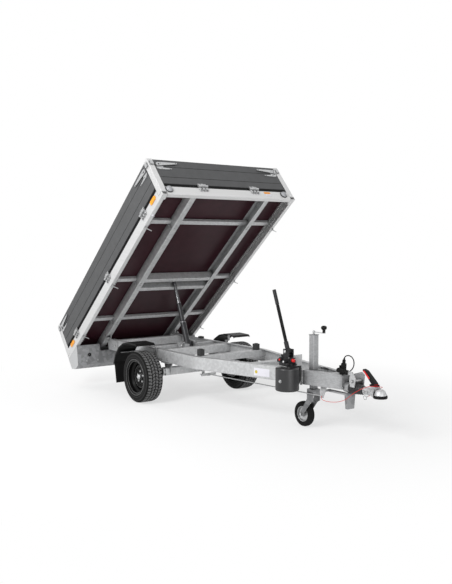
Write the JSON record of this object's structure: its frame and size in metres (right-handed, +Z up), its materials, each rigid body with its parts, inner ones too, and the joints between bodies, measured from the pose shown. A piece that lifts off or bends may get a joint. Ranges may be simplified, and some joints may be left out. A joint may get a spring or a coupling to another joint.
{
  "type": "tipping trailer",
  "caption": "Single-axle tipping trailer with V-shaped drawbar, raised drop-side load bed, telescopic cylinder, hand pump, ball coupling and jockey wheel.",
  "frame": {"origin": "on the ground, midway between the coupling's nose and the raised bed's rear edge, on the centre plane", "axes": "+X forwards to the coupling, +Y to the trailer's left, +Z up"},
  "size_m": [4.4235, 1.662, 2.4358],
  "materials": {
    "galvanised": "satin, spangled",
    "bright_aluminium": "satin",
    "grey_planks": "satin",
    "film_ply": "glossy film",
    "zinc": "bright",
    "black_paint": "semi gloss",
    "rim_black": "gloss",
    "tyre": "matt",
    "rubber": "matt",
    "black_plastic": "grained",
    "amber_lens": "gloss",
    "white_lens": "gloss",
    "red_lens": "gloss",
    "red_plastic": "gloss",
    "ram": "oiled",
    "rod": "polished"
  },
  "bodies": {
    "chassis": {"beam_left": "galvanised", "beam_right": "galvanised", "chassis_crossmembers": "galvanised", "drawbar_nose": "galvanised", "chassis_brackets": "galvanised", "rest_pads": "rubber", "axle": "galvanised", "brake_linkage": "galvanised", "fenders": "black_plastic", "jockey_mast": "galvanised", "jockey_crank": "zinc", "pump_bracket": "galvanised", "pump_tank": "black_paint", "pump_block": "black_paint", "overrun_housing": "galvanised", "bellows": "rubber", "coupling_head": "zinc", "coupling_handle": "black_plastic", "handbrake": "galvanised", "foot_plate": "galvanised", "plug": "black_plastic", "plug_cable": "rubber", "breakaway_cable": "red_plastic", "cable_clip": "zinc"},
    "wheel_left": {"tyre_left": "tyre", "rim_left": "rim_black", "hub_left": "zinc"},
    "wheel_right": {"tyre_right": "tyre", "rim_right": "rim_black", "hub_right": "zinc"},
    "bed": {"side_rails": "bright_aluminium", "end_rails": "bright_aluminium", "corner_posts": "bright_aluminium", "longerons": "galvanised", "bed_crossrails": "galvanised", "floor": "film_ply", "hinge_lugs": "galvanised", "light_box": "galvanised", "tail_lamps": "red_lens", "rail_fittings": "zinc", "rim_seals": "rubber", "side_markers": "amber_lens", "front_markers": "white_lens"},
    "side_left": {"panel_left": "grey_planks", "latches_left": "zinc"},
    "side_right": {"panel_right": "grey_planks", "latches_right": "zinc"},
    "front_board": {"panel_front": "grey_planks", "latches_front": "zinc"},
    "tail_board": {"tailgate": "grey_planks", "latches_rear": "zinc"},
    "barrel": {"cylinder_barrel": "ram"},
    "stage_1": {"cylinder_stage_1": "ram"},
    "stage_2": {"cylinder_stage_2": "ram"},
    "ram": {"cylinder_rod": "rod"},
    "lever": {"pump_lever": "black_paint"},
    "leg": {"jockey_leg": "galvanised"},
    "jockey_wheel": {"jockey_tyre": "tyre", "jockey_rim": "zinc"}
  },
  "joints": [
    {"name": "bed_tip", "type": "hinge", "parent": "chassis", "child": "bed", "pos_m": [-1.585, 0, 0.541], "axis": [0, -1, 0], "range_deg": [-40.2, 0]},
    {"name": "barrel_swing", "type": "hinge", "parent": "chassis", "child": "barrel", "pos_m": [-0.62665, 0, 0.53], "axis": [0, -1, 0], "range_deg": [-20.5, 0.5]},
    {"name": "stage_1_slide", "type": "slide", "parent": "barrel", "child": "stage_1", "axis": [-0.3715, 0, 0.9285], "range_m": [-0.2225, 0.001]},
    {"name": "stage_2_slide", "type": "slide", "parent": "stage_1", "child": "stage_2", "axis": [-0.3715, 0, 0.9285], "range_m": [-0.2225, 0.001]},
    {"name": "rod_slide", "type": "slide", "parent": "stage_2", "child": "ram", "axis": [-0.3715, 0, 0.9285], "range_m": [-0.2225, 0.001]},
    {"name": "side_left_drop", "type": "hinge", "parent": "bed", "child": "side_left", "pos_m": [-0.9873, 0.822, 1.22808], "axis": [-0.7638, 0, -0.6455], "range_deg": [0, 180]},
    {"name": "side_right_drop", "type": "hinge", "parent": "bed", "child": "side_right", "pos_m": [-0.9873, -0.822, 1.22808], "axis": [0.7638, 0, 0.6455], "range_deg": [0, 180]},
    {"name": "front_board_drop", "type": "hinge", "parent": "bed", "child": "front_board", "pos_m": [0.14006, 0, 2.18078], "axis": [0, 1, 0], "range_deg": [0, 90]},
    {"name": "tail_board_drop", "type": "hinge", "parent": "bed", "child": "tail_board", "pos_m": [-2.00162, 0, 0.37091], "axis": [0, -1, 0], "range_deg": [0, 180]},
    {"name": "wheel_left_spin", "type": "hinge", "parent": "chassis", "child": "wheel_left", "pos_m": [-0.525, 0.621, 0.2625], "axis": [0, 1, 0], "continuous": true},
    {"name": "wheel_right_spin", "type": "hinge", "parent": "chassis", "child": "wheel_right", "pos_m": [-0.525, -0.621, 0.2625], "axis": [0, 1, 0], "continuous": true},
    {"name": "pump_stroke", "type": "hinge", "parent": "chassis", "child": "lever", "pos_m": [1.365, -0.283, 0.706], "axis": [0, 1, 0], "range_deg": [-20, 50]},
    {"name": "leg_wind", "type": "slide", "parent": "chassis", "child": "leg", "axis": [0, 0, 1], "range_m": [-0.16, 0.025]},
    {"name": "jockey_spin", "type": "hinge", "parent": "leg", "child": "jockey_wheel", "pos_m": [1.262, 0, 0.112], "axis": [0, 1, 0], "continuous": true}
  ],
  "couplings": [
    {"joint": "barrel_swing", "follows": "bed_tip", "ratio": 0.5},
    {"joint": "stage_1_slide", "follows": "bed_tip", "m_per_rad": 0.31048},
    {"joint": "stage_2_slide", "follows": "bed_tip", "m_per_rad": 0.31048},
    {"joint": "rod_slide", "follows": "bed_tip", "m_per_rad": 0.31048}
  ]
}
